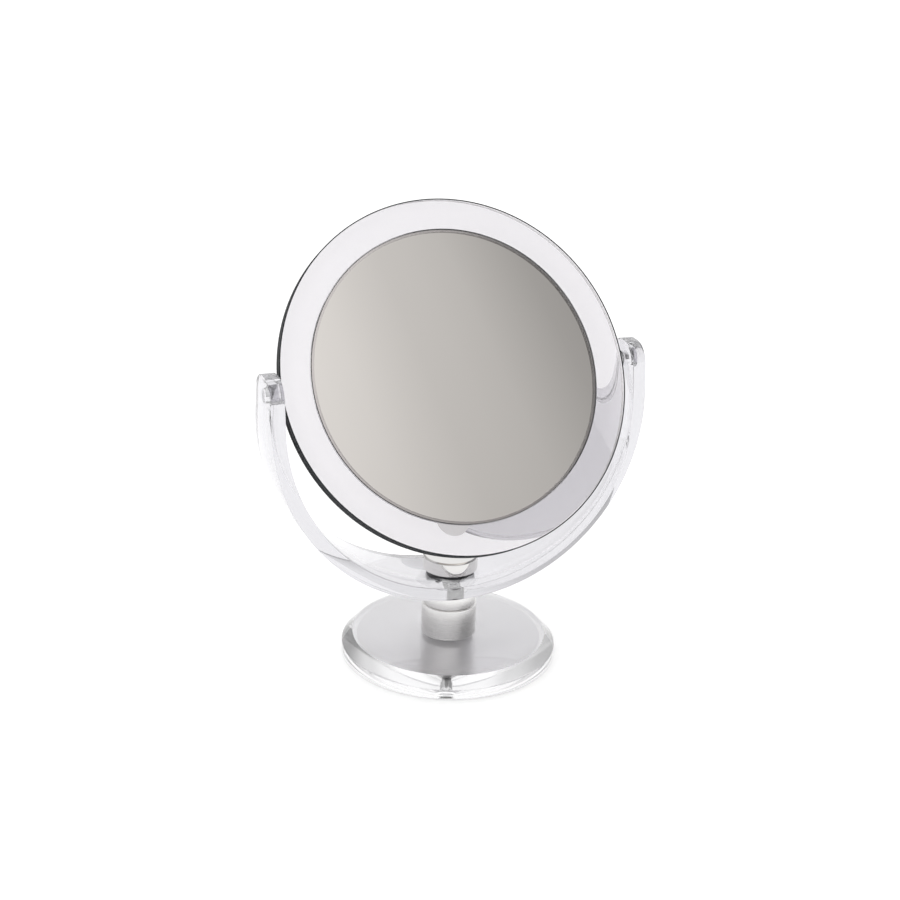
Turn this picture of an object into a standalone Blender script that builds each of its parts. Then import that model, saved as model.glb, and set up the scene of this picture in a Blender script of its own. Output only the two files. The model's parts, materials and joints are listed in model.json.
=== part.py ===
"""Countertop tilting mirror.

A round two-sided mirror in a clear acrylic frame tilts on two pins between
the arms of a clear bent-acrylic yoke.  The yoke is clamped between a satin
metal pillar and a metal cap by one long screw that comes up through the
middle of the base: two clear acrylic discs, the upper one bevelled, with a
brushed metal plate between them.

Units are metres.  +Z is up, the mirror faces -Y, and +X is to the right of
someone who looks into it; left and right in the names follow that view.  The
origin is under the centre of the base, on the plane that the four bumper
feet stand on.
"""
import math

import bmesh
import bpy
from mathutils import Matrix, Vector

MM = 0.001
GAP = 0.3            # clearance kept between pieces that touch, mm

# ---------------------------------------------------------------- dimensions
FOOT_H = 1.0         # all in mm
FOOT_R = 4.5
FOOT_PITCH_R = 50.0
BASE_Z = FOOT_H + GAP            # underside of the base disc
BASE_R = 63.0
BASE_SIDE_H = 5.8                # straight side wall before the bevel
LOWER_DISC_TOP_Z = 6.8
BASE_TOP_R = 56.8
BASE_TOP_Z = 13.1
PLATE_R = 54.0                   # metal plate let into the top of the lower disc
PLATE_T = 0.6
SCREW_R = 2.5
SCREW_BORE_R = 2.8
SCREW_HEAD_R = 3.75
SCREW_HEAD_H = 3.2
COUNTERBORE_R = 4.8              # passes the head and its washer up to the plate
SCREW_TOP_Z = 60.0
COLLAR_R = 16.06
COLLAR_TOP_Z = 32.45
NECK_R = 15.4
NECK_TOP_Z = 42.6
SADDLE_R = 14.6
YOKE_CENTRE_Z = 156.3            # centre of the yoke's half circle
YOKE_IN_R = 104.2
YOKE_OUT_R = 112.2
YOKE_WIDTH_FLOOR = 48.0
YOKE_WIDTH_DROP = 21.5           # how much narrower the strip is at its ends
YOKE_TAPER = 2.2
YOKE_TIP_R = 10.5
PIVOT_Z = 172.2
TIP_TOP_Z = 183.4
BUSHING_R = 5.0
GASKET_R = 14.4
GASKET_TOP_Z = 54.2
CAP_R = 16.1
CAP_FACE_R = 14.9
CAP_TOP_Z = 63.0
PIN_R = 4.2
PIN_IN_X = 103.4
PIN_OUT_X = 110.0
SPIGOT_R = 1.75
SPIGOT_END_X = 95.6
WASHER_R = 5.0
HEAD_R = 102.0
HEAD_T = 6.4
RING_BORE_R = 83.0
REBATE_R = 85.0
LIP_T = 0.9
GLASS_R = 84.7
GLASS_T = 1.4
BACKING_R = 84.5
REAR_SAG = 0.8                   # hollow of the magnifying side
HEAD_TILT = math.radians(31.3)   # leaned back, as it is stored

scene = bpy.context.scene
for _old in list(bpy.data.objects):
    bpy.data.objects.remove(_old, do_unlink=True)


# ------------------------------------------------------------------ helpers
def material(name, colour, roughness, metallic=0.0, alpha=1.0, transmission=0.0):
    m = bpy.data.materials.new(name)
    m.use_nodes = True
    b = m.node_tree.nodes["Principled BSDF"]
    b.inputs["Base Color"].default_value = (*colour, 1.0)
    b.inputs["Roughness"].default_value = roughness
    b.inputs["Metallic"].default_value = metallic
    b.inputs["Alpha"].default_value = alpha
    b.inputs["Transmission Weight"].default_value = transmission
    b.inputs["IOR"].default_value = 1.49
    m.diffuse_color = (*colour, alpha)
    return m


MATS = {
    "clear_acrylic": material("clear_acrylic", (0.93, 0.94, 0.96), 0.03, transmission=1.0),
    "clear_rubber": material("clear_rubber", (0.85, 0.86, 0.86), 0.35, transmission=0.7),
    "brushed_plate": material("brushed_plate", (0.72, 0.71, 0.72), 0.30, metallic=1.0),
    "satin_metal": material("satin_metal", (0.62, 0.61, 0.60), 0.25, metallic=1.0),
    "polished_metal": material("polished_metal", (0.70, 0.70, 0.70), 0.08, metallic=1.0),
    "zinc_steel": material("zinc_steel", (0.48, 0.48, 0.47), 0.35, metallic=1.0),
    "black_rubber": material("black_rubber", (0.02, 0.02, 0.022), 0.55),
    "white_nylon": material("white_nylon", (0.86, 0.86, 0.84), 0.45),
    "mirror_glass": material("mirror_glass", (0.80, 0.79, 0.77), 0.01, metallic=1.0),
    "grey_card": material("grey_card", (0.35, 0.35, 0.35), 0.8),
}


def new_object(name, bm, mat, parent=None, matrix=None, smooth=True, angle=32.0):
    bmesh.ops.recalc_face_normals(bm, faces=bm.faces)
    me = bpy.data.meshes.new(name)
    bm.to_mesh(me)
    bm.free()
    if smooth:
        me.shade_smooth()
        me.set_sharp_from_angle(angle=math.radians(angle))
    ob = bpy.data.objects.new(name, me)
    scene.collection.objects.link(ob)
    if mat:
        me.materials.append(MATS[mat])
    if parent is not None:
        ob.parent = parent
    if matrix is not None:
        ob.matrix_local = matrix
    return ob


def turned_bmesh(profile, segments):
    """Revolve a closed (radius, height) outline in mm about the local Z."""
    bm = bmesh.new()
    rings = []
    for r, z in profile:
        if r < 1e-6:
            rings.append([bm.verts.new((0.0, 0.0, z * MM))])
        else:
            rings.append([bm.verts.new((r * MM * math.cos(2 * math.pi * k / segments),
                                        r * MM * math.sin(2 * math.pi * k / segments),
                                        z * MM)) for k in range(segments)])
    n = len(rings)
    for i in range(n):
        a, b = rings[i], rings[(i + 1) % n]
        if len(a) == 1 and len(b) == 1:
            continue
        for k in range(segments):
            k2 = (k + 1) % segments
            if len(a) == 1:
                bm.faces.new((a[0], b[k2], b[k]))
            elif len(b) == 1:
                bm.faces.new((a[k], a[k2], b[0]))
            else:
                bm.faces.new((a[k], a[k2], b[k2], b[k]))
    return bm


def turned(name, profile, segments, mat, parent=None, matrix=None):
    return new_object(name, turned_bmesh(profile, segments), mat, parent, matrix)


def tube_profile(r_out, r_in, z0, z1):
    return [(r_in, z0), (r_out, z0), (r_out, z1), (r_in, z1)]


def hide_cutter(ob):
    ob.hide_render = True
    ob.display_type = "WIRE"
    return ob


def cylinder_cutter(name, radius, low, high, segments, matrix, parent=None):
    return hide_cutter(turned(name, [(0, low), (radius, low), (radius, high), (0, high)],
                              segments, None, parent, matrix))


def boolean(ob, cutter, operation="DIFFERENCE"):
    m = ob.modifiers.new(cutter.name, "BOOLEAN")
    m.operation = operation
    m.solver = "EXACT"
    m.object = cutter
    return m


ALONG_X = Matrix.Rotation(math.radians(90), 4, "Y")        # local Z becomes +X
ALONG_MINUS_X = Matrix.Rotation(math.radians(-90), 4, "Y")
ALONG_Y = Matrix.Rotation(math.radians(-90), 4, "X")       # local Z becomes +Y
FACING_FRONT = Matrix.Rotation(math.radians(90), 4, "X")   # local Z becomes -Y


def lifted(z_mm, rot):
    return Matrix.Translation((0.0, 0.0, z_mm * MM)) @ rot


# --------------------------------------------------------------------- base
side_top = BASE_Z + BASE_SIDE_H
plate_z0 = LOWER_DISC_TOP_Z - PLATE_T
recess_z = plate_z0 - GAP
turned("base_lower_disc", [
    (COUNTERBORE_R, BASE_Z), (BASE_R - 0.4, BASE_Z), (BASE_R, BASE_Z + 0.4),
    (BASE_R, LOWER_DISC_TOP_Z), (PLATE_R + GAP, LOWER_DISC_TOP_Z), (PLATE_R + GAP, recess_z),
    (COUNTERBORE_R, recess_z)], 96, "clear_acrylic")

turned("base_disc", [
    (SCREW_BORE_R, side_top), (BASE_R, side_top), (BASE_TOP_R, BASE_TOP_Z),
    (SCREW_BORE_R, BASE_TOP_Z)], 96, "clear_acrylic")

turned("base_plate", tube_profile(PLATE_R, SCREW_BORE_R, plate_z0, plate_z0 + PLATE_T),
       96, "brushed_plate")

foot_mesh = None
for label, quarter in (("front_right", 0), ("back_right", 1), ("back_left", 2), ("front_left", 3)):
    a = math.radians(-45 + 90 * quarter)
    place = Matrix.Translation((FOOT_PITCH_R * MM * math.cos(a), FOOT_PITCH_R * MM * math.sin(a), 0))
    turned("bumper_foot_" + label,
           [(0, 0), (FOOT_R - 0.3, 0), (FOOT_R, 0.3), (FOOT_R, FOOT_H), (0, FOOT_H)],
           24, "clear_rubber", matrix=place)

# ----------------------------------------------------- screw and its washer
head_z0 = BASE_Z + 0.6
head_z1 = head_z0 + SCREW_HEAD_H
screw = turned("central_screw", [
    (0, head_z0), (SCREW_HEAD_R - 0.4, head_z0), (SCREW_HEAD_R, head_z0 + 0.4),
    (SCREW_HEAD_R, head_z1), (SCREW_R, head_z1), (SCREW_R, SCREW_TOP_Z - 0.5),
    (SCREW_R - 0.5, SCREW_TOP_Z), (0, SCREW_TOP_Z)], 32, "zinc_steel")
hex_key = hide_cutter(turned("cut_hex_key", [(0, 0), (2.1, 0), (2.1, head_z0 + 1.8), (0, head_z0 + 1.8)], 6, None))
boolean(screw, hex_key)

turned("screw_washer", tube_profile(COUNTERBORE_R - GAP, SCREW_BORE_R, head_z1 + GAP, plate_z0 - GAP),
       32, "zinc_steel")

# ------------------------------------------------------------------- pillar
collar_z0 = BASE_TOP_Z + GAP
turned("lower_collar", [
    (SCREW_BORE_R, collar_z0), (COLLAR_R - 0.5, collar_z0), (COLLAR_R, collar_z0 + 0.5),
    (COLLAR_R, COLLAR_TOP_Z - 1.1), (COLLAR_R - 0.35, COLLAR_TOP_Z - 0.35),
    (COLLAR_R - 1.0, COLLAR_TOP_Z), (SCREW_BORE_R, COLLAR_TOP_Z)], 64, "satin_metal")

turned("neck_spacer", tube_profile(NECK_R, SCREW_BORE_R, COLLAR_TOP_Z + GAP, NECK_TOP_Z),
       64, "satin_metal")

saddle = turned("neck_saddle_washer",
                tube_profile(SADDLE_R, BUSHING_R + 0.6, NECK_TOP_Z + GAP, 46.0), 64, "clear_rubber")
boolean(saddle, cylinder_cutter("cut_yoke_outside", YOKE_OUT_R + GAP, -30, 30, 240,
                                lifted(YOKE_CENTRE_Z, ALONG_Y)))

# --------------------------------------------------------------------- yoke
MID_R = (YOKE_IN_R + YOKE_OUT_R) / 2
ARC = MID_R * math.pi / 2                       # half of the bend, along the middle
S_TIP = ARC + (TIP_TOP_Z - YOKE_CENTRE_Z)       # from the floor's middle to a tip


def half_width(s):
    w = YOKE_WIDTH_FLOOR - YOKE_WIDTH_DROP * (s / S_TIP) ** YOKE_TAPER
    h = w / 2
    s0 = S_TIP - YOKE_TIP_R
    if s > s0:
        h_tip = (YOKE_WIDTH_FLOOR - YOKE_WIDTH_DROP) / 2
        corner = h_tip - YOKE_TIP_R + math.sqrt(max(0.0, YOKE_TIP_R ** 2 - (s - s0) ** 2))
        h = min(h, corner + (h - h_tip))
    return h


def strip_point(s, radius):
    """(x, z) of the strip's surface at arc distance s (either sign)."""
    side = -1.0 if s < 0 else 1.0
    s = abs(s)
    if s <= ARC:
        t = s / MID_R
        return side * radius * math.sin(t), YOKE_CENTRE_Z - radius * math.cos(t)
    return side * radius, YOKE_CENTRE_Z + (s - ARC)


stations = [ARC * k / 28 for k in range(29)]
stations += [ARC + (S_TIP - YOKE_TIP_R - ARC) * k / 2 for k in (1, 2)]
stations += [S_TIP - YOKE_TIP_R + YOKE_TIP_R * math.sin(math.radians(90 * k / 7)) for k in range(1, 8)]
stations = [-s for s in reversed(stations[1:])] + stations

bm = bmesh.new()
rows = []
for s in stations:
    h = half_width(abs(s))
    row = []
    for radius, y in ((YOKE_IN_R, -h), (YOKE_IN_R, h), (YOKE_OUT_R, h), (YOKE_OUT_R, -h)):
        x, z = strip_point(s, radius)
        row.append(bm.verts.new((x * MM, y * MM, z * MM)))
    rows.append(row)
for a, b in zip(rows, rows[1:]):
    for k in range(4):
        bm.faces.new((a[k], a[(k + 1) % 4], b[(k + 1) % 4], b[k]))
bm.faces.new(rows[0])
bm.faces.new(list(reversed(rows[-1])))
bmesh.ops.triangulate(bm, faces=bm.faces)
yoke = new_object("yoke", bm, "clear_acrylic")
boolean(yoke, cylinder_cutter("cut_yoke_floor_hole", BUSHING_R + GAP, 40, 60, 32, None))
for label, rot in (("left", ALONG_MINUS_X), ("right", ALONG_X)):
    boolean(yoke, cylinder_cutter("cut_arm_bore_" + label, PIN_R + GAP, YOKE_IN_R - 2,
                                  PIN_OUT_X + GAP, 32, lifted(PIVOT_Z, rot)))

turned("yoke_bushing", tube_profile(BUSHING_R, SCREW_BORE_R, YOKE_CENTRE_Z - YOKE_OUT_R + 0.4,
                                    YOKE_CENTRE_Z - YOKE_IN_R - GAP), 32, "white_nylon")

# ----------------------------------------------------------- gasket and cap
gasket = turned("cap_gasket", tube_profile(GASKET_R, SCREW_BORE_R, 50.0, GASKET_TOP_Z), 64, "black_rubber")
boolean(gasket, cylinder_cutter("cut_yoke_inside", YOKE_IN_R - GAP, -30, 30, 240,
                                lifted(YOKE_CENTRE_Z, ALONG_Y)), "INTERSECT")

cap_z0 = GASKET_TOP_Z + GAP
turned("upper_cap", [
    (SCREW_BORE_R, cap_z0), (CAP_R - 0.4, cap_z0), (CAP_R, cap_z0 + 0.4), (CAP_R, CAP_TOP_Z - 1.2),
    (CAP_R - 0.35, CAP_TOP_Z - 0.35), (CAP_FACE_R, CAP_TOP_Z), (0, CAP_TOP_Z),
    (0, SCREW_TOP_Z + 0.8), (SCREW_BORE_R, SCREW_TOP_Z + 0.8)], 64, "polished_metal")

# ------------------------------------------------------------ pivot hardware
for label, rot in (("left", ALONG_MINUS_X), ("right", ALONG_X)):
    turned("pivot_pin_" + label, [
        (0, SPIGOT_END_X), (SPIGOT_R, SPIGOT_END_X), (SPIGOT_R, PIN_IN_X), (PIN_R - 0.3, PIN_IN_X),
        (PIN_R, PIN_IN_X + 0.3), (PIN_R, PIN_OUT_X), (0, PIN_OUT_X)],
        24, "clear_acrylic", matrix=lifted(PIVOT_Z, rot))
    turned("pivot_washer_" + label, tube_profile(WASHER_R, SPIGOT_R + GAP, HEAD_R + 0.4, PIN_IN_X - GAP),
           24, "clear_rubber", matrix=lifted(PIVOT_Z, rot))

# --------------------------------------------------------------------- head
head = bpy.data.objects.new("head_pivot", None)
scene.collection.objects.link(head)
head.location = (0.0, 0.0, PIVOT_Z * MM)
head.rotation_euler = (-HEAD_TILT, 0.0, 0.0)

half_t = HEAD_T / 2
ring = [(REBATE_R, GAP / 2), (HEAD_R, GAP / 2), (HEAD_R, half_t - 0.4), (HEAD_R - 0.4, half_t),
        (RING_BORE_R, half_t), (RING_BORE_R, half_t - LIP_T), (REBATE_R, half_t - LIP_T)]
FACING_BACK = ALONG_Y
rims = [turned("front_ring", ring, 112, "clear_acrylic", head, FACING_FRONT),
        turned("rear_ring", ring, 112, "clear_acrylic", head, FACING_BACK)]
for label, rot in (("left", ALONG_MINUS_X), ("right", ALONG_X)):
    cut = cylinder_cutter("cut_rim_hole_" + label, SPIGOT_R + GAP, SPIGOT_END_X - 0.4, HEAD_R + 2,
                          20, rot, head)
    for rim in rims:
        boolean(rim, cut)

glass_top = half_t - LIP_T - GAP
turned("front_mirror_glass", [
    (0, glass_top - GLASS_T), (GLASS_R, glass_top - GLASS_T), (GLASS_R, glass_top), (0, glass_top)],
    112, "mirror_glass", head, FACING_FRONT)

hollow = [(GLASS_R * k / 6, glass_top - REAR_SAG * (1 - (k / 6) ** 2)) for k in range(6, -1, -1)]
turned("rear_mirror_glass", [(0, glass_top - GLASS_T), (GLASS_R, glass_top - GLASS_T)] + hollow,
       112, "mirror_glass", head, FACING_BACK)

turned("backing_disc", [(0, -0.3), (BACKING_R, -0.3), (BACKING_R, 0.3), (0, 0.3)],
       96, "grey_card", head, FACING_FRONT)
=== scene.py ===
"""Looks of the countertop mirror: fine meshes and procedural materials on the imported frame."""
import json
import math

import bmesh  # noqa: E402
import bpy  # noqa: E402
from mathutils import Matrix, Vector  # noqa: E402


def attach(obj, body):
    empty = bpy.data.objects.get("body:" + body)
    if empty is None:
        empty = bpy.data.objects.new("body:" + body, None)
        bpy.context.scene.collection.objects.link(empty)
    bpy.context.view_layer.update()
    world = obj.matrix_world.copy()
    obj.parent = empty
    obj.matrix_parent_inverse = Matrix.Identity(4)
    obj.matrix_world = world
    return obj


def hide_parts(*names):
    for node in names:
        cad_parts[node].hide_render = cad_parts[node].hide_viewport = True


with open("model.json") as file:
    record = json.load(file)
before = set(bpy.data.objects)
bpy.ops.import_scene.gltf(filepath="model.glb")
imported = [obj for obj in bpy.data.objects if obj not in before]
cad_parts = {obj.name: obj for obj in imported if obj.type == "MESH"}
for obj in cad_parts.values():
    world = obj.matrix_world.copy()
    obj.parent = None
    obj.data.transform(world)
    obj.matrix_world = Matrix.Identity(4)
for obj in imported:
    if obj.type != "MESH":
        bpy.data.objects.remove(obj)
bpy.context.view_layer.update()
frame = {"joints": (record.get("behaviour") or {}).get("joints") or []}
MM = 0.001
TILT = math.radians(31.3)
JOINT = frame["joints"][0]
PIVOT_Z = float(JOINT["pos_m"][2]) * 1000 if "pos_m" in JOINT else 172.2


# =============================================================== node helpers
class Mat:
    """A small builder for node materials."""

    def __init__(self, name):
        self.m = bpy.data.materials.new(name)
        self.m.use_nodes = True
        self.nt = self.m.node_tree
        self.b = self.nt.nodes["Principled BSDF"]

    def node(self, kind, **kw):
        n = self.nt.nodes.new(kind)
        for k, v in kw.items():
            if k in n.inputs:
                n.inputs[k].default_value = v
            else:
                setattr(n, k, v)
        return n

    def link(self, a, b):
        self.nt.links.new(a, b)

    def set(self, **kw):
        names = dict(colour="Base Color", rough="Roughness", metal="Metallic", ior="IOR",
                     trans="Transmission Weight", coat="Coat Weight", coat_rough="Coat Roughness",
                     aniso="Anisotropic", aniso_rot="Anisotropic Rotation", spec="Specular IOR Level",
                     alpha="Alpha")
        for k, v in kw.items():
            self.b.inputs[names[k]].default_value = (*v, 1.0) if k == "colour" else v
        return self

    def coords(self, scale=(1, 1, 1), kind="Object"):
        tc = self.node("ShaderNodeTexCoord")
        mp = self.node("ShaderNodeMapping")
        mp.inputs["Scale"].default_value = scale
        self.link(tc.outputs[kind], mp.inputs["Vector"])
        return mp.outputs["Vector"]

    def noise(self, vec, scale, detail=3.0, rough=0.5):
        n = self.node("ShaderNodeTexNoise")
        n.inputs["Scale"].default_value = scale
        n.inputs["Detail"].default_value = detail
        n.inputs["Roughness"].default_value = rough
        self.link(vec, n.inputs["Vector"])
        return n.outputs["Fac"]

    def ramp(self, fac, stops):
        r = self.node("ShaderNodeValToRGB")
        el = r.color_ramp.elements
        while len(el) < len(stops):
            el.new(0.5)
        for e, (p, c) in zip(el, stops):
            e.position = p
            e.color = (*c, 1.0) if len(c) == 3 else c
        self.link(fac, r.inputs["Fac"])
        return r.outputs["Color"]

    def map(self, fac, lo, hi, a=0.0, b=1.0):
        r = self.node("ShaderNodeMapRange")
        r.inputs["From Min"].default_value = a
        r.inputs["From Max"].default_value = b
        r.inputs["To Min"].default_value = lo
        r.inputs["To Max"].default_value = hi
        self.link(fac, r.inputs["Value"])
        return r.outputs["Result"]

    def bump(self, height, strength, distance):
        n = self.node("ShaderNodeBump")
        n.inputs["Strength"].default_value = strength
        n.inputs["Distance"].default_value = distance
        self.link(height, n.inputs["Height"])
        self.link(n.outputs["Normal"], self.b.inputs["Normal"])
        return n


def acrylic(name, tint=(0.885, 0.876, 0.888), rough=0.0):
    """Clear polished acrylic: colourless body, very light handling marks in the gloss."""
    m = Mat(name)
    m.set(rough=0.004, trans=1.0, ior=1.49)
    v = m.coords()
    fine = m.noise(v, 900.0, 2.0)
    broad = m.noise(v, 14.0, 2.0)
    col = m.ramp(broad, [(0.3, tint), (0.7, tuple(min(1.0, c + 0.006) for c in tint))])
    m.link(col, m.b.inputs["Base Color"])
    m.link(m.map(fine, rough, rough + 0.012, 0.45, 0.8), m.b.inputs["Roughness"])
    return m.m


def painted_shade_lip(name):
    """Inner lip wall of the ring: painted shade, near black on the upper right side of the ring and fading to clear
    elsewhere.
    """
    m = Mat(name)
    m.set(rough=0.02, trans=1.0, ior=1.49)
    sep = m.node("ShaderNodeSeparateXYZ")
    m.link(m.coords(), sep.inputs[0])
    side = m.node("ShaderNodeMath", operation="MULTIPLY")
    side.inputs[1].default_value = 3.6
    m.link(sep.outputs["X"], side.inputs[0])
    up = m.node("ShaderNodeMath", operation="MULTIPLY_ADD")
    up.inputs[1].default_value = 3.6
    m.link(sep.outputs["Z"], up.inputs[0])
    m.link(side.outputs[0], up.inputs[2])
    # painted shade: base colour goes from grey to near black towards +X and +Z, the upper right of the head
    m.link(m.ramp(up.outputs[0], [(0.74, (0.62, 0.62, 0.63)), (0.88, (0.01, 0.01, 0.012))]),
           m.b.inputs["Base Color"])
    m.link(m.map(m.noise(m.coords(), 900.0, 2.0), 0.02, 0.04, 0.45, 0.8), m.b.inputs["Roughness"])
    return m.m


def soft_clear(name):
    m = Mat(name)
    m.set(rough=0.2, trans=0.85, ior=1.45)
    v = m.coords()
    n = m.noise(v, 600.0, 3.0)
    m.link(m.ramp(n, [(0.3, (0.86, 0.87, 0.87)), (0.7, (0.93, 0.94, 0.94))]), m.b.inputs["Base Color"])
    m.link(m.map(n, 0.12, 0.3), m.b.inputs["Roughness"])
    m.bump(n, 0.2, 0.0001)
    return m.m


def brushed(name):
    """Straight-grain brushed sheet, grain along X, with a faint painted glow that lightens it."""
    m = Mat(name)
    m.set(metal=1.0, rough=0.42, aniso=0.85)
    v = m.coords((6.0, 900.0, 1.0))
    g = m.noise(v, 1.0, 5.0, 0.6)
    v2 = m.coords((25.0, 5200.0, 1.0))
    g2 = m.noise(v2, 1.0, 3.0, 0.7)
    mix = m.node("ShaderNodeMix", data_type="FLOAT")
    mix.inputs["Factor"].default_value = 0.5
    m.link(g, mix.inputs["A"])
    m.link(g2, mix.inputs["B"])
    f = mix.outputs["Result"]
    m.link(m.ramp(f, [(0.3, (0.93, 0.925, 0.935)), (0.7, (0.98, 0.975, 0.985))]), m.b.inputs["Base Color"])
    m.link(m.map(f, 0.36, 0.50, 0.3, 0.7), m.b.inputs["Roughness"])
    m.bump(f, 0.03, 0.00003)
    t = m.node("ShaderNodeTangent", direction_type="UV_MAP")
    m.link(t.outputs["Tangent"], m.b.inputs["Tangent"])
    # painted glow: faint white emission lightens the plate seen through the clear base
    m.b.inputs["Emission Color"].default_value = (1.0, 0.99, 1.0, 1.0)
    m.b.inputs["Emission Strength"].default_value = 0.09
    return m.m


def satin(name, colour=(0.89, 0.88, 0.87), rough=0.28, rings=2600.0, bump=0.06):
    """Turned metal: very fine rings round the axis."""
    m = Mat(name)
    m.set(metal=1.0, rough=rough)
    v = m.coords((3.0, 3.0, rings))
    g = m.noise(v, 1.0, 4.0, 0.6)
    broad = m.noise(m.coords(), 60.0, 2.0)
    lo = tuple(c * 0.93 for c in colour)
    hi = tuple(min(1.0, c * 1.06) for c in colour)
    m.link(m.ramp(g, [(0.3, lo), (0.7, hi)]), m.b.inputs["Base Color"])
    mix = m.node("ShaderNodeMix", data_type="FLOAT")
    mix.inputs["Factor"].default_value = 0.35
    m.link(g, mix.inputs["A"])
    m.link(broad, mix.inputs["B"])
    m.link(m.map(mix.outputs["Result"], rough * 0.8, rough * 1.2, 0.3, 0.7), m.b.inputs["Roughness"])
    if bump:
        m.bump(g, bump, 0.00004)
    return m.m


def matte(name, lo, hi, rough, scale=500.0, bump=0.3, coat=0.0, glow=0.0):
    m = Mat(name)
    m.set(rough=rough)
    v = m.coords()
    n = m.noise(v, scale, 4.0)
    m.link(m.ramp(n, [(0.3, lo), (0.7, hi)]), m.b.inputs["Base Color"])
    m.link(m.map(n, rough * 0.85, min(1.0, rough * 1.15), 0.3, 0.7), m.b.inputs["Roughness"])
    m.bump(n, bump, 0.0001)
    if coat:
        m.set(coat=coat)
    # glow: painted light, emission in the surface's lighter colour
    if glow:
        m.b.inputs["Emission Color"].default_value = (*hi, 1.0)
        m.b.inputs["Emission Strength"].default_value = glow
    return m.m


def mirror(name):
    """Silvered face: near-perfect gloss with a barely warm tint and faint dust."""
    m = Mat(name)
    m.set(metal=1.0, rough=0.0)
    v = m.coords()
    broad = m.noise(v, 9.0, 2.0)
    dust = m.noise(v, 2400.0, 1.0)
    m.link(m.ramp(broad, [(0.3, (0.872, 0.832, 0.792)), (0.7, (0.885, 0.845, 0.805))]), m.b.inputs["Base Color"])
    m.link(m.map(dust, 0.0, 0.03, 0.6, 0.9), m.b.inputs["Roughness"])
    return m.m


M = {
    "acrylic": acrylic("clear_acrylic_polished"),
    "base": acrylic("clear_acrylic_base", (0.93, 0.928, 0.936)),
    "yoke": acrylic("clear_acrylic_bent", (0.72, 0.715, 0.74), 0.004),
    "rim": painted_shade_lip("acrylic_lip_painted_shade"),
    # band: near-black opaque material with low gloss, painted shade standing in for the dark reflection on the rings'
    # polished outer wall
    "band": matte("rim_band_painted_shade", (0.020, 0.022, 0.024), (0.034, 0.037, 0.040), 0.55, 260.0, 0.1),
    # sleeve: white, with a painted glow (emission 0.35) that keeps it bright inside the clear yoke
    "sleeve": matte("white_sleeve_painted_glow", (0.86, 0.86, 0.85), (0.93, 0.93, 0.92), 0.35, 300.0, 0.1, 0.0, 0.35),
    "soft_clear": soft_clear("clear_elastomer"),
    "brushed": brushed("brushed_sheet_painted_glow"),
    "satin": satin("satin_turned_metal"),
    "polished": satin("polished_turned_metal", (0.74, 0.73, 0.72), 0.07, 1800.0, 0.02),
    "steel": satin("plated_screw_steel", (0.42, 0.42, 0.41), 0.3, 900.0, 0.1),
    "rubber": matte("black_rubber", (0.012, 0.012, 0.014), (0.03, 0.03, 0.034), 0.5),
    "nylon": matte("white_nylon", (0.84, 0.84, 0.82), (0.92, 0.92, 0.90), 0.35, 300.0, 0.15),
    "mirror": mirror("silvered_mirror"),
    # mirror glass back and edge: its own dark paint, plus a faint painted glow (emission 0.5) that lifts it
    "edge": matte("dark_glass_edge_painted_glow", (0.02, 0.024, 0.024), (0.05, 0.056, 0.055), 0.3, 400.0, 0.1, 0.5),
    "card": matte("grey_backing_board", (0.10, 0.10, 0.10), (0.16, 0.16, 0.155), 0.8, 900.0, 0.4),
}


# =============================================================== mesh helpers
def finish_mesh(name, bm, mats, body, replaces, matrix=None, angle=30.0, uv=False):
    bmesh.ops.recalc_face_normals(bm, faces=bm.faces)
    me = bpy.data.meshes.new(name)
    if uv:
        layer = bm.loops.layers.uv.new("UVMap")
        for f in bm.faces:
            for lo in f.loops:
                lo[layer].uv = (lo.vert.co.y * 5 + 0.5, 0.5 - lo.vert.co.x * 5)
    bm.to_mesh(me)
    bm.free()
    if matrix is not None:
        me.transform(matrix)
    me.shade_smooth()
    me.set_sharp_from_angle(angle=math.radians(angle))
    ob = bpy.data.objects.new(name, me)
    bpy.context.scene.collection.objects.link(ob)
    for m in mats:
        me.materials.append(M[m])
    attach(ob, body)
    if replaces:
        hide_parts(*replaces)
    return ob


def revolve(profile, segs, mat_of=None):
    """Closed (radius, height) outline in mm turned about Z. mat_of(i) gives the material of the face after point i."""
    bm = bmesh.new()
    rings = []
    for r, z in profile:
        if r < 1e-6:
            rings.append([bm.verts.new((0, 0, z * MM))])
        else:
            rings.append([bm.verts.new((r * MM * math.cos(2 * math.pi * k / segs),
                                        r * MM * math.sin(2 * math.pi * k / segs), z * MM)) for k in range(segs)])
    n = len(rings)
    for i in range(n):
        a, b = rings[i], rings[(i + 1) % n]
        if len(a) == 1 and len(b) == 1:
            continue
        for k in range(segs):
            k2 = (k + 1) % segs
            if len(a) == 1:
                f = bm.faces.new((a[0], b[k2], b[k]))
            elif len(b) == 1:
                f = bm.faces.new((a[k], a[k2], b[0]))
            else:
                f = bm.faces.new((a[k], a[k2], b[k2], b[k]))
            if mat_of:
                f.material_index = mat_of(i)
    return bm


def rounded(points, radius, steps=4):
    """A closed polygon with every corner rounded: radius is one number or one per corner."""
    out = []
    n = len(points)
    for i in range(n):
        p0, p1, p2 = (Vector(points[(i + k - 1) % n]) for k in range(3))
        r = radius[i] if isinstance(radius, (list, tuple)) else radius
        if r <= 0 or p1.x < 1e-6:
            out.append(tuple(p1))
            continue
        a, b = (p0 - p1), (p2 - p1)
        la, lb = a.length, b.length
        a.normalize()
        b.normalize()
        ang = a.angle(b)
        if ang > math.radians(179):
            out.append(tuple(p1))
            continue
        d = min(r / math.tan(ang / 2), la * 0.45, lb * 0.45)
        rr = d * math.tan(ang / 2)
        c = p1 + (a + b).normalized() * (rr / math.sin(ang / 2))
        s, e = p1 + a * d - c, p1 + b * d - c
        turn = s.angle(e)
        cross = s.x * e.y - s.y * e.x
        for k in range(steps + 1):
            t = turn * k / steps * (1 if cross > 0 else -1)
            out.append((c.x + s.x * math.cos(t) - s.y * math.sin(t), c.y + s.x * math.sin(t) + s.y * math.cos(t)))
    return out


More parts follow.
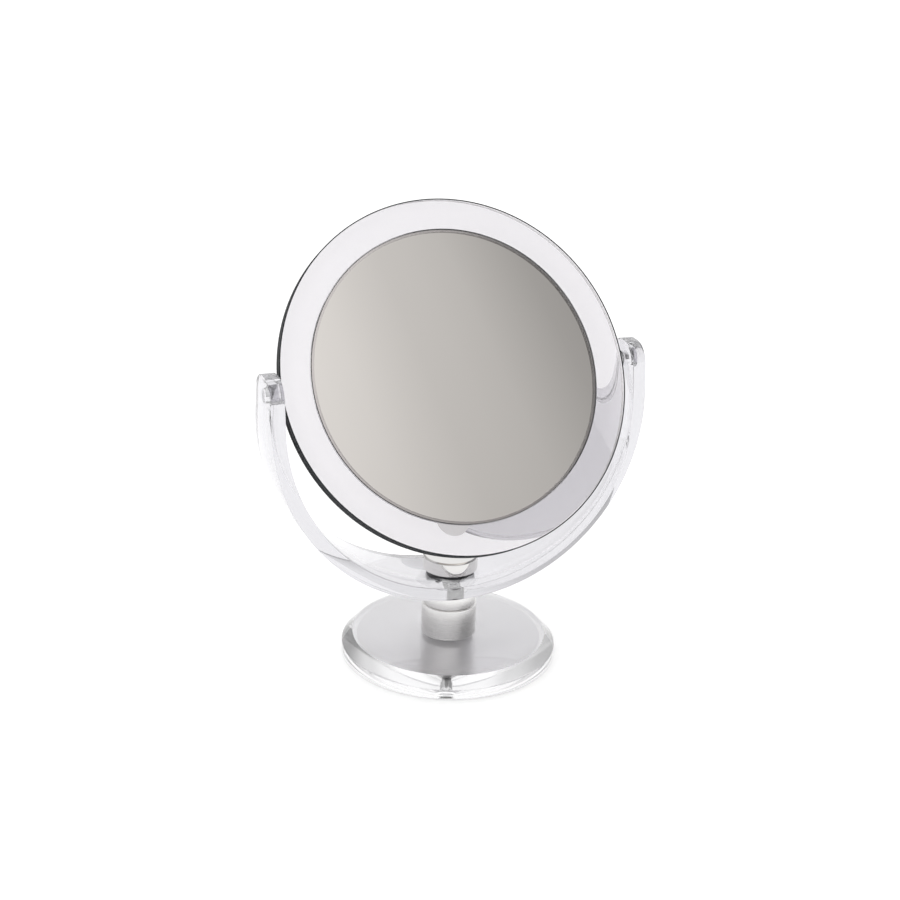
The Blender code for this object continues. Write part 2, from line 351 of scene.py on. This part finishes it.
def boolean(ob, bm_cut, op="DIFFERENCE"):
    me = bpy.data.meshes.new("cut")
    bmesh.ops.recalc_face_normals(bm_cut, faces=bm_cut.faces)
    bm_cut.to_mesh(me)
    bm_cut.free()
    cut = bpy.data.objects.new("cut", me)
    bpy.context.scene.collection.objects.link(cut)
    md = ob.modifiers.new("cut", "BOOLEAN")
    md.operation, md.solver, md.object = op, "EXACT", cut
    dg = bpy.context.evaluated_depsgraph_get()
    new = bpy.data.meshes.new_from_object(ob.evaluated_get(dg), depsgraph=dg)
    ob.modifiers.clear()
    old = ob.data
    ob.data = new
    new.name = old.name + "_cut"
    new.shade_smooth()
    new.set_sharp_from_angle(angle=math.radians(30))
    bpy.data.objects.remove(cut, do_unlink=True)
    bpy.data.meshes.remove(old)
    return ob


def cylinder(r, lo, hi, segs, matrix=None):
    bm = revolve([(0, lo), (r, lo), (r, hi), (0, hi)], segs)
    if matrix is not None:
        bm.transform(matrix)
    return bm


def lift(z, rot=None):
    t = Matrix.Translation((0, 0, z * MM))
    return t @ rot if rot is not None else t


X_POS = Matrix.Rotation(math.radians(90), 4, "Y")
X_NEG = Matrix.Rotation(math.radians(-90), 4, "Y")
Y_POS = Matrix.Rotation(math.radians(-90), 4, "X")
HEAD = Matrix.Translation((0, 0, PIVOT_Z * MM)) @ Matrix.Rotation(-TILT, 4, "X")
FRONT = HEAD @ Matrix.Rotation(math.radians(90), 4, "X")
BACK = HEAD @ Matrix.Rotation(math.radians(-90), 4, "X")

# ==================================================================== stand
finish_mesh("base_disc_fine", revolve(rounded([
    (2.8, 7.03), (63.0, 7.03), (63.0, 7.18), (56.8, 13.1), (2.8, 13.1)], [0.05, 0.03, 0.05, 0.22, 0.1], 4), 256),
    ["base"], "stand", ["base_disc"])
finish_mesh("base_lower_disc_fine", revolve(rounded([
    (4.8, 1.3), (63.0, 1.3), (63.0, 6.93), (54.2, 6.93), (54.2, 6.0), (4.8, 6.0)], [0.1, 0.5, 0.08, 0.05, 0.1, 0.1], 4),
    256), ["base"], "stand", ["base_lower_disc"])

plate_profile = [(2.8, 6.1), (53.98, 6.1), (54.1, 6.22), (54.1, 6.78), (53.98, 6.9)]
plate_profile += [(53.98 - 51.18 * k / 12, 6.9) for k in range(1, 13)]
finish_mesh("base_plate_fine", revolve(plate_profile, 256), ["brushed"], "stand", ["base_plate"],
            uv=True)

for label, a in (("front_right", -45), ("back_right", 45), ("back_left", 135), ("front_left", -135)):
    t = Matrix.Translation((0.05 * math.cos(math.radians(a)), 0.05 * math.sin(math.radians(a)), 0))
    finish_mesh("foot_" + label, revolve(rounded([(0, 0), (4.5, 0), (4.5, 1.15), (0, 1.15)], [0, 0.45, 0.2, 0], 5), 64),
                ["soft_clear"], "stand", ["bumper_foot_" + label], t)


def threaded_screw():
    """Socket screw: round head, hex recess, real helical thread on a 58 mm shank."""
    z0, z1, top = 1.9, 5.1, 60.0
    r_maj, r_min, pitch, seg = 2.5, 2.05, 0.8, 32
    bm = bmesh.new()
    # outline of the head and run-out, turned; then a helical band for the thread; all one skin
    rows = []

    def ring(rf, zf):
        rows.append([bm.verts.new((rf(k) * MM * math.cos(2 * math.pi * k / seg),
                                   rf(k) * MM * math.sin(2 * math.pi * k / seg), zf(k) * MM)) for k in range(seg)])

    def hexr(k):
        a = (2 * math.pi * k / seg) % (math.pi / 3) - math.pi / 6
        return 1.8 / math.cos(a)

    ring(lambda k: hexr(k) * 0.999, lambda k: z0 + 1.9)
    ring(hexr, lambda k: z0 + 0.12)
    ring(lambda k: hexr(k) + 0.12, lambda k: z0)
    ring(lambda k: 3.35, lambda k: z0)
    ring(lambda k: 3.65, lambda k: z0 + 0.12)
    ring(lambda k: 3.75, lambda k: z0 + 0.4)
    ring(lambda k: 3.75, lambda k: z1 - 0.1)
    ring(lambda k: 3.65, lambda k: z1)
    ring(lambda k: 2.7, lambda k: z1)
    ring(lambda k: 2.5, lambda k: z1 + 0.25)
    ring(lambda k: 2.5, lambda k: z1 + 1.0)
    z = z1 + 1.2
    while z < top - 1.4:
        ring(lambda k: r_min, lambda k, z=z: z + pitch * k / seg)
        ring(lambda k: r_min, lambda k, z=z: z + pitch * (k / seg + 0.15))
        ring(lambda k: r_maj, lambda k, z=z: z + pitch * (k / seg + 0.45))
        ring(lambda k: r_maj, lambda k, z=z: z + pitch * (k / seg + 0.6))
        z += pitch
        if z >= top - 1.4:
            break
    ring(lambda k: r_min, lambda k: top - 0.5)
    ring(lambda k: r_min - 0.4, lambda k: top)
    helix_start = 11
    for i, (a, b) in enumerate(zip(rows, rows[1:])):
        for k in range(seg):
            k2 = (k + 1) % seg
            bm.faces.new((a[k], a[k2], b[k2], b[k]))
    bm.faces.new(list(reversed(rows[0])))
    bm.faces.new(rows[-1])
    return bm


finish_mesh("central_screw_fine", threaded_screw(), ["steel"], "stand", ["central_screw"], angle=25)
finish_mesh("screw_washer_fine", revolve(rounded([(2.8, 5.4), (4.5, 5.4), (4.5, 6.0), (2.8, 6.0)], 0.15, 3), 64),
            ["steel"], "stand", ["screw_washer"])

finish_mesh("lower_collar_fine", revolve(rounded([
    (2.8, 13.25), (16.06, 13.25), (16.06, 32.45), (15.0, 32.62), (2.8, 32.62)],
    [0.1, 0.6, 1.0, 0.1, 0.1], 8), 192), ["satin"], "stand", ["lower_collar"])
finish_mesh("neck_spacer_fine", revolve(rounded([(2.8, 32.7), (15.4, 32.7), (15.4, 42.7), (2.8, 42.7)], 0.3, 4), 192),
            ["satin"], "stand", ["neck_spacer"])

CZ, RI, RO = 156.3, 104.2, 112.2
saddle = finish_mesh("neck_saddle_fine", revolve(rounded([(5.6, 42.8), (14.6, 42.8), (14.6, 46.0), (5.6, 46.0)], 0.0), 128),
                     ["soft_clear"], "stand", ["neck_saddle_washer"])
boolean(saddle, cylinder(RO + 0.1, -30, 30, 720, lift(CZ, Y_POS)))
gasket = finish_mesh("cap_gasket_fine", revolve(rounded([(2.9, 50.0), (14.4, 50.0), (14.4, 54.35), (2.9, 54.35)],
                                                        [0, 0, 0.4, 0.1], 4), 128),
                     ["rubber"], "stand", ["cap_gasket"])
boolean(gasket, cylinder(RI - 0.06, -30, 30, 720, lift(CZ, Y_POS)), "INTERSECT")

finish_mesh("upper_cap_fine", revolve(rounded([
    (2.8, 54.4), (16.1, 54.4), (16.1, 62.1), (15.2, 63.0), (0, 63.0), (0, 60.8), (2.8, 60.8)],
    [0.1, 0.5, 0.7, 0.5, 0, 0, 0.1], 6), 192), ["polished"], "stand", ["upper_cap"])

# --------------------------------------------------------------------- yoke
W0, DROP, TAPER, TIP_R, TIP_Z = 48.0, 21.5, 2.2, 10.5, 183.4
MR = (RI + RO) / 2
ARC = MR * math.pi / 2
S_TIP = ARC + (TIP_Z - CZ)


def half_width(s):
    h = (W0 - DROP * (s / S_TIP) ** TAPER) / 2
    s0 = S_TIP - TIP_R
    if s > s0:
        ht = (W0 - DROP) / 2
        h = min(h, ht - TIP_R + math.sqrt(max(0.0, TIP_R ** 2 - (s - s0) ** 2)) + (h - ht))
    return h


def strip_xz(s, radius):
    side = -1.0 if s < 0 else 1.0
    s = abs(s)
    if s <= ARC:
        t = s / MR
        return side * radius * math.sin(t), CZ - radius * math.cos(t)
    return side * radius, CZ + (s - ARC)


st = [ARC * k / 120 for k in range(121)]
st += [ARC + (S_TIP - TIP_R - ARC) * k / 8 for k in range(1, 9)]
st += [S_TIP - TIP_R + TIP_R * math.sin(math.radians(90 * k / 24)) for k in range(1, 25)]
st = [-s for s in reversed(st[1:])] + st
EDGE = 0.45
bm = bmesh.new()
rows = []
for s in st:
    h = half_width(abs(s))
    sect = rounded([(RI, -h), (RI, h), (RO, h), (RO, -h)], EDGE, 3)
    row = []
    for rad, y in sect:
        x, z = strip_xz(s, rad)
        row.append(bm.verts.new((x * MM, y * MM, z * MM)))
    rows.append(row)
for a, b in zip(rows, rows[1:]):
    n = len(a)
    for k in range(n):
        bm.faces.new((a[k], a[(k + 1) % n], b[(k + 1) % n], b[k]))
bm.faces.new(rows[0])
bm.faces.new(list(reversed(rows[-1])))
yoke = finish_mesh("yoke_fine", bm, ["yoke"], "stand", ["yoke"], angle=40)
boolean(yoke, cylinder(4.98, 40, 60, 64))
for rot in (X_NEG, X_POS):
    boolean(yoke, cylinder(4.3, RI - 3, 110.3, 64, lift(PIVOT_Z, rot)))
finish_mesh("yoke_bushing_fine", revolve(rounded([(2.8, 44.4), (5.0, 44.4), (5.0, 51.9), (2.8, 51.9)], 0.25, 3), 64),
            ["sleeve"], "stand", ["yoke_bushing"])

# ------------------------------------------------------------------- pivots
for label, rot in (("left", X_NEG), ("right", X_POS)):
    finish_mesh("pivot_pin_%s_fine" % label, revolve(rounded([
        (0, 102.64), (1.75, 102.64), (1.75, 103.3), (4.2, 103.3), (4.2, 110.1), (0, 110.1)],
        [0, 0.3, 0.1, 0.5, 0.4, 0], 4), 64), ["acrylic"], "stand", ["pivot_pin_" + label],
        lift(PIVOT_Z, rot))
    finish_mesh("pivot_washer_%s_fine" % label, revolve(rounded([
        (2.05, 102.66), (5.0, 102.66), (5.0, 103.15), (2.05, 103.15)], 0.2, 3), 64), ["soft_clear"], "stand",
        ["pivot_washer_" + label], lift(PIVOT_Z, rot))

# --------------------------------------------------------------------- head
ring = rounded([(85.0, 0.12), (102.0, 0.12), (102.0, 3.2), (83.0, 3.2), (83.0, 2.3), (85.0, 2.3)],
               [0.1, 0.15, 0.35, 0.25, 0.15, 0.1], 4)


def ring_face(i):
    """The lip's inner wall takes the acrylic with painted shade, all other faces are clear."""
    (r0, z0), (r1, z1) = ring[i], ring[(i + 1) % len(ring)]
    if max(r0, r1) < 83.01 and abs(z1 - z0) > 0.3:
        return 1
    return 0


for name, node, mx in (("front_ring_fine", "front_ring", FRONT), ("rear_ring_fine", "rear_ring", BACK)):
    finish_mesh(name, revolve(ring, 360, ring_face), ["acrylic", "rim"], "head", [node], mx)
    # dark band round each ring's outer wall: painted shade in place of the rim's dark reflection
    band = finish_mesh(name.replace("ring", "edge_band"), revolve(rounded([
        (102.03, 0.28), (102.58, 0.28), (102.58, 3.22), (102.03, 3.22)], 0.06, 2), 360), ["band"], "head", [],
        mx)
    band.data.materials[0].node_tree.nodes["Principled BSDF"].inputs["Specular IOR Level"].default_value = 0.12


def glass_profile(sag):
    """Mirror glass: flat or slightly hollow face with a ground arris, painted back and edge."""
    face = [(84.7, 1.6), (84.35, 2.0)]
    n = 16
    face += [(84.35 * (1 - k / n), 2.0 - sag * (1 - (1 - k / n) ** 2)) for k in range(1, n + 1)]
    return [(0, 0.6), (84.7, 0.6)] + face


for name, node, mx, sag in (("front_mirror_fine", "front_mirror_glass", FRONT, 0.0),
                            ("rear_mirror_fine", "rear_mirror_glass", BACK, 0.8)):
    finish_mesh(name, revolve(glass_profile(sag), 256, lambda i: 0 if i >= 3 and i < 19 else 1), ["mirror", "edge"],
                "head", [node], mx)
finish_mesh("backing_disc_fine", revolve(rounded([(0, -0.3), (84.5, -0.3), (84.5, 0.3), (0, 0.3)], [0, 0.1, 0.1, 0], 3), 192),
            ["card"], "head", ["backing_disc"], FRONT)

# =============================================================== studio
floor = bmesh.new()
bmesh.ops.create_circle(floor, cap_ends=True, cap_tris=True, segments=96, radius=6.0)
me = bpy.data.meshes.new("floor")
floor.to_mesh(me)
floor.free()
fo = bpy.data.objects.new("floor", me)
bpy.context.scene.collection.objects.link(fo)
fm = Mat("pale_floor")
fm.set(rough=0.9, spec=0.0)
fv = fm.coords()
fn = fm.noise(fv, 3.0, 3.0)
fm.link(fm.ramp(fn, [(0.3, (0.90, 0.90, 0.90)), (0.7, (0.915, 0.915, 0.915))]), fm.b.inputs["Base Color"])
fm.b.inputs["Emission Color"].default_value = (1, 1, 1, 1)
fm.b.inputs["Emission Strength"].default_value = 0.54
me.materials.append(fm.m)

w = bpy.data.worlds.new("studio")
bpy.context.scene.world = w
w.use_nodes = True
nt = w.node_tree
bg = nt.nodes["Background"]
tc = nt.nodes.new("ShaderNodeTexCoord")
sep = nt.nodes.new("ShaderNodeSeparateXYZ")
nt.links.new(tc.outputs["Generated"], sep.inputs[0])


def wmath(op, a, b=None):
    n = nt.nodes.new("ShaderNodeMath")
    n.operation = op
    for i, v in enumerate((a, b)):
        if v is None:
            continue
        if isinstance(v, (int, float)):
            n.inputs[i].default_value = v
        else:
            nt.links.new(v, n.inputs[i])
    return n.outputs[0]


def wsmooth(v, lo, hi, a, b):
    n = nt.nodes.new("ShaderNodeMapRange")
    n.interpolation_type = "SMOOTHSTEP"
    nt.links.new(v, n.inputs["Value"])
    n.inputs["From Min"].default_value = lo
    n.inputs["From Max"].default_value = hi
    n.inputs["To Min"].default_value = a
    n.inputs["To Max"].default_value = b
    return n.outputs["Result"]


# azimuth measured from -Y towards +X, elevation above the floor, both in degrees
az = wmath("MULTIPLY", wmath("ARCTAN2", sep.outputs["X"], wmath("MULTIPLY", sep.outputs["Y"], -1.0)), 180 / math.pi)
el = wmath("MULTIPLY", wmath("ARCSINE", sep.outputs["Z"]), 180 / math.pi)


def wramp(value, lo, hi, stops):
    """Soft brightness along one angle: stops are (degrees, level)."""
    n = nt.nodes.new("ShaderNodeValToRGB")
    n.color_ramp.interpolation = "EASE"
    e = n.color_ramp.elements
    while len(e) < len(stops):
        e.new(0.5)
    for item, (deg, level) in zip(e, stops):
        item.position = (deg - lo) / (hi - lo)
        item.color = (level / 1.5, level / 1.5, level / 1.5, 1)
    m = nt.nodes.new("ShaderNodeMapRange")
    nt.links.new(value, m.inputs["Value"])
    m.inputs["From Min"].default_value = lo
    m.inputs["From Max"].default_value = hi
    nt.links.new(m.outputs["Result"], n.inputs["Fac"])
    return wmath("MULTIPLY", n.outputs["Color"], 1.5)


def wmix(fac, a, b):
    n = nt.nodes.new("ShaderNodeMix")
    n.data_type = "FLOAT"
    nt.links.new(fac, n.inputs["Factor"])
    for k, v in (("A", a), ("B", b)):
        if isinstance(v, (int, float)):
            n.inputs[k].default_value = v
        else:
            nt.links.new(v, n.inputs[k])
    return n.outputs["Result"]


HIGH = [(-180, 0.95), (-150, 0.78), (-110, 0.65), (-70, 0.82), (-30, 0.92), (10, 0.88), (22, 0.84), (28, 0.62),
        (34, 0.36), (48, 0.18), (70, 0.16), (92, 0.36), (120, 0.85), (145, 1.12), (168, 1.15), (180, 0.95)]
LOW = [(-180, 0.70), (-150, 0.45), (-110, 0.42), (-80, 0.52), (-30, 0.60), (0, 0.46), (22, 0.28),
       (34, 0.30), (48, 0.24), (90, 0.36), (120, 0.74), (140, 1.0), (160, 1.02), (180, 0.70)]
high = wramp(az, -180, 180, HIGH)
low = wramp(az, -180, 180, LOW)
body = wmix(wsmooth(el, 10, 46, 0.0, 1.0), low, high)
level = wmix(wsmooth(el, 44, 68, 0.0, 1.0), body, 0.80)
nt.links.new(level, bg.inputs["Strength"])
bg.inputs["Color"].default_value = (1.0, 1.0, 1.0, 1.0)

cam_data = bpy.data.cameras.new("camera")
cam = bpy.data.objects.new("camera", cam_data)
bpy.context.scene.collection.objects.link(cam)
r = Vector((0.92754339, -0.37263368, 0.02841481))
u = Vector((0.11253531, 0.35100271, 0.92958749))
c = Vector((-0.35636929, -0.85903506, 0.36750469))
cam.matrix_world = Matrix(((r.x, u.x, c.x, -0.363468), (r.y, u.y, c.y, -0.870595),
                           (r.z, u.z, c.z, 0.500142), (0, 0, 0, 1)))
cam_data.sensor_width = 36.0
cam_data.lens = 71.165
cam_data.clip_start, cam_data.clip_end = 0.01, 50.0
bpy.context.scene.camera = cam
sc = bpy.context.scene
sc.view_settings.view_transform = "Standard"
sc.cycles.max_bounces = 32                # light crosses the clear disc many times
sc.cycles.transmission_bounces = 32
sc.cycles.glossy_bounces = 32
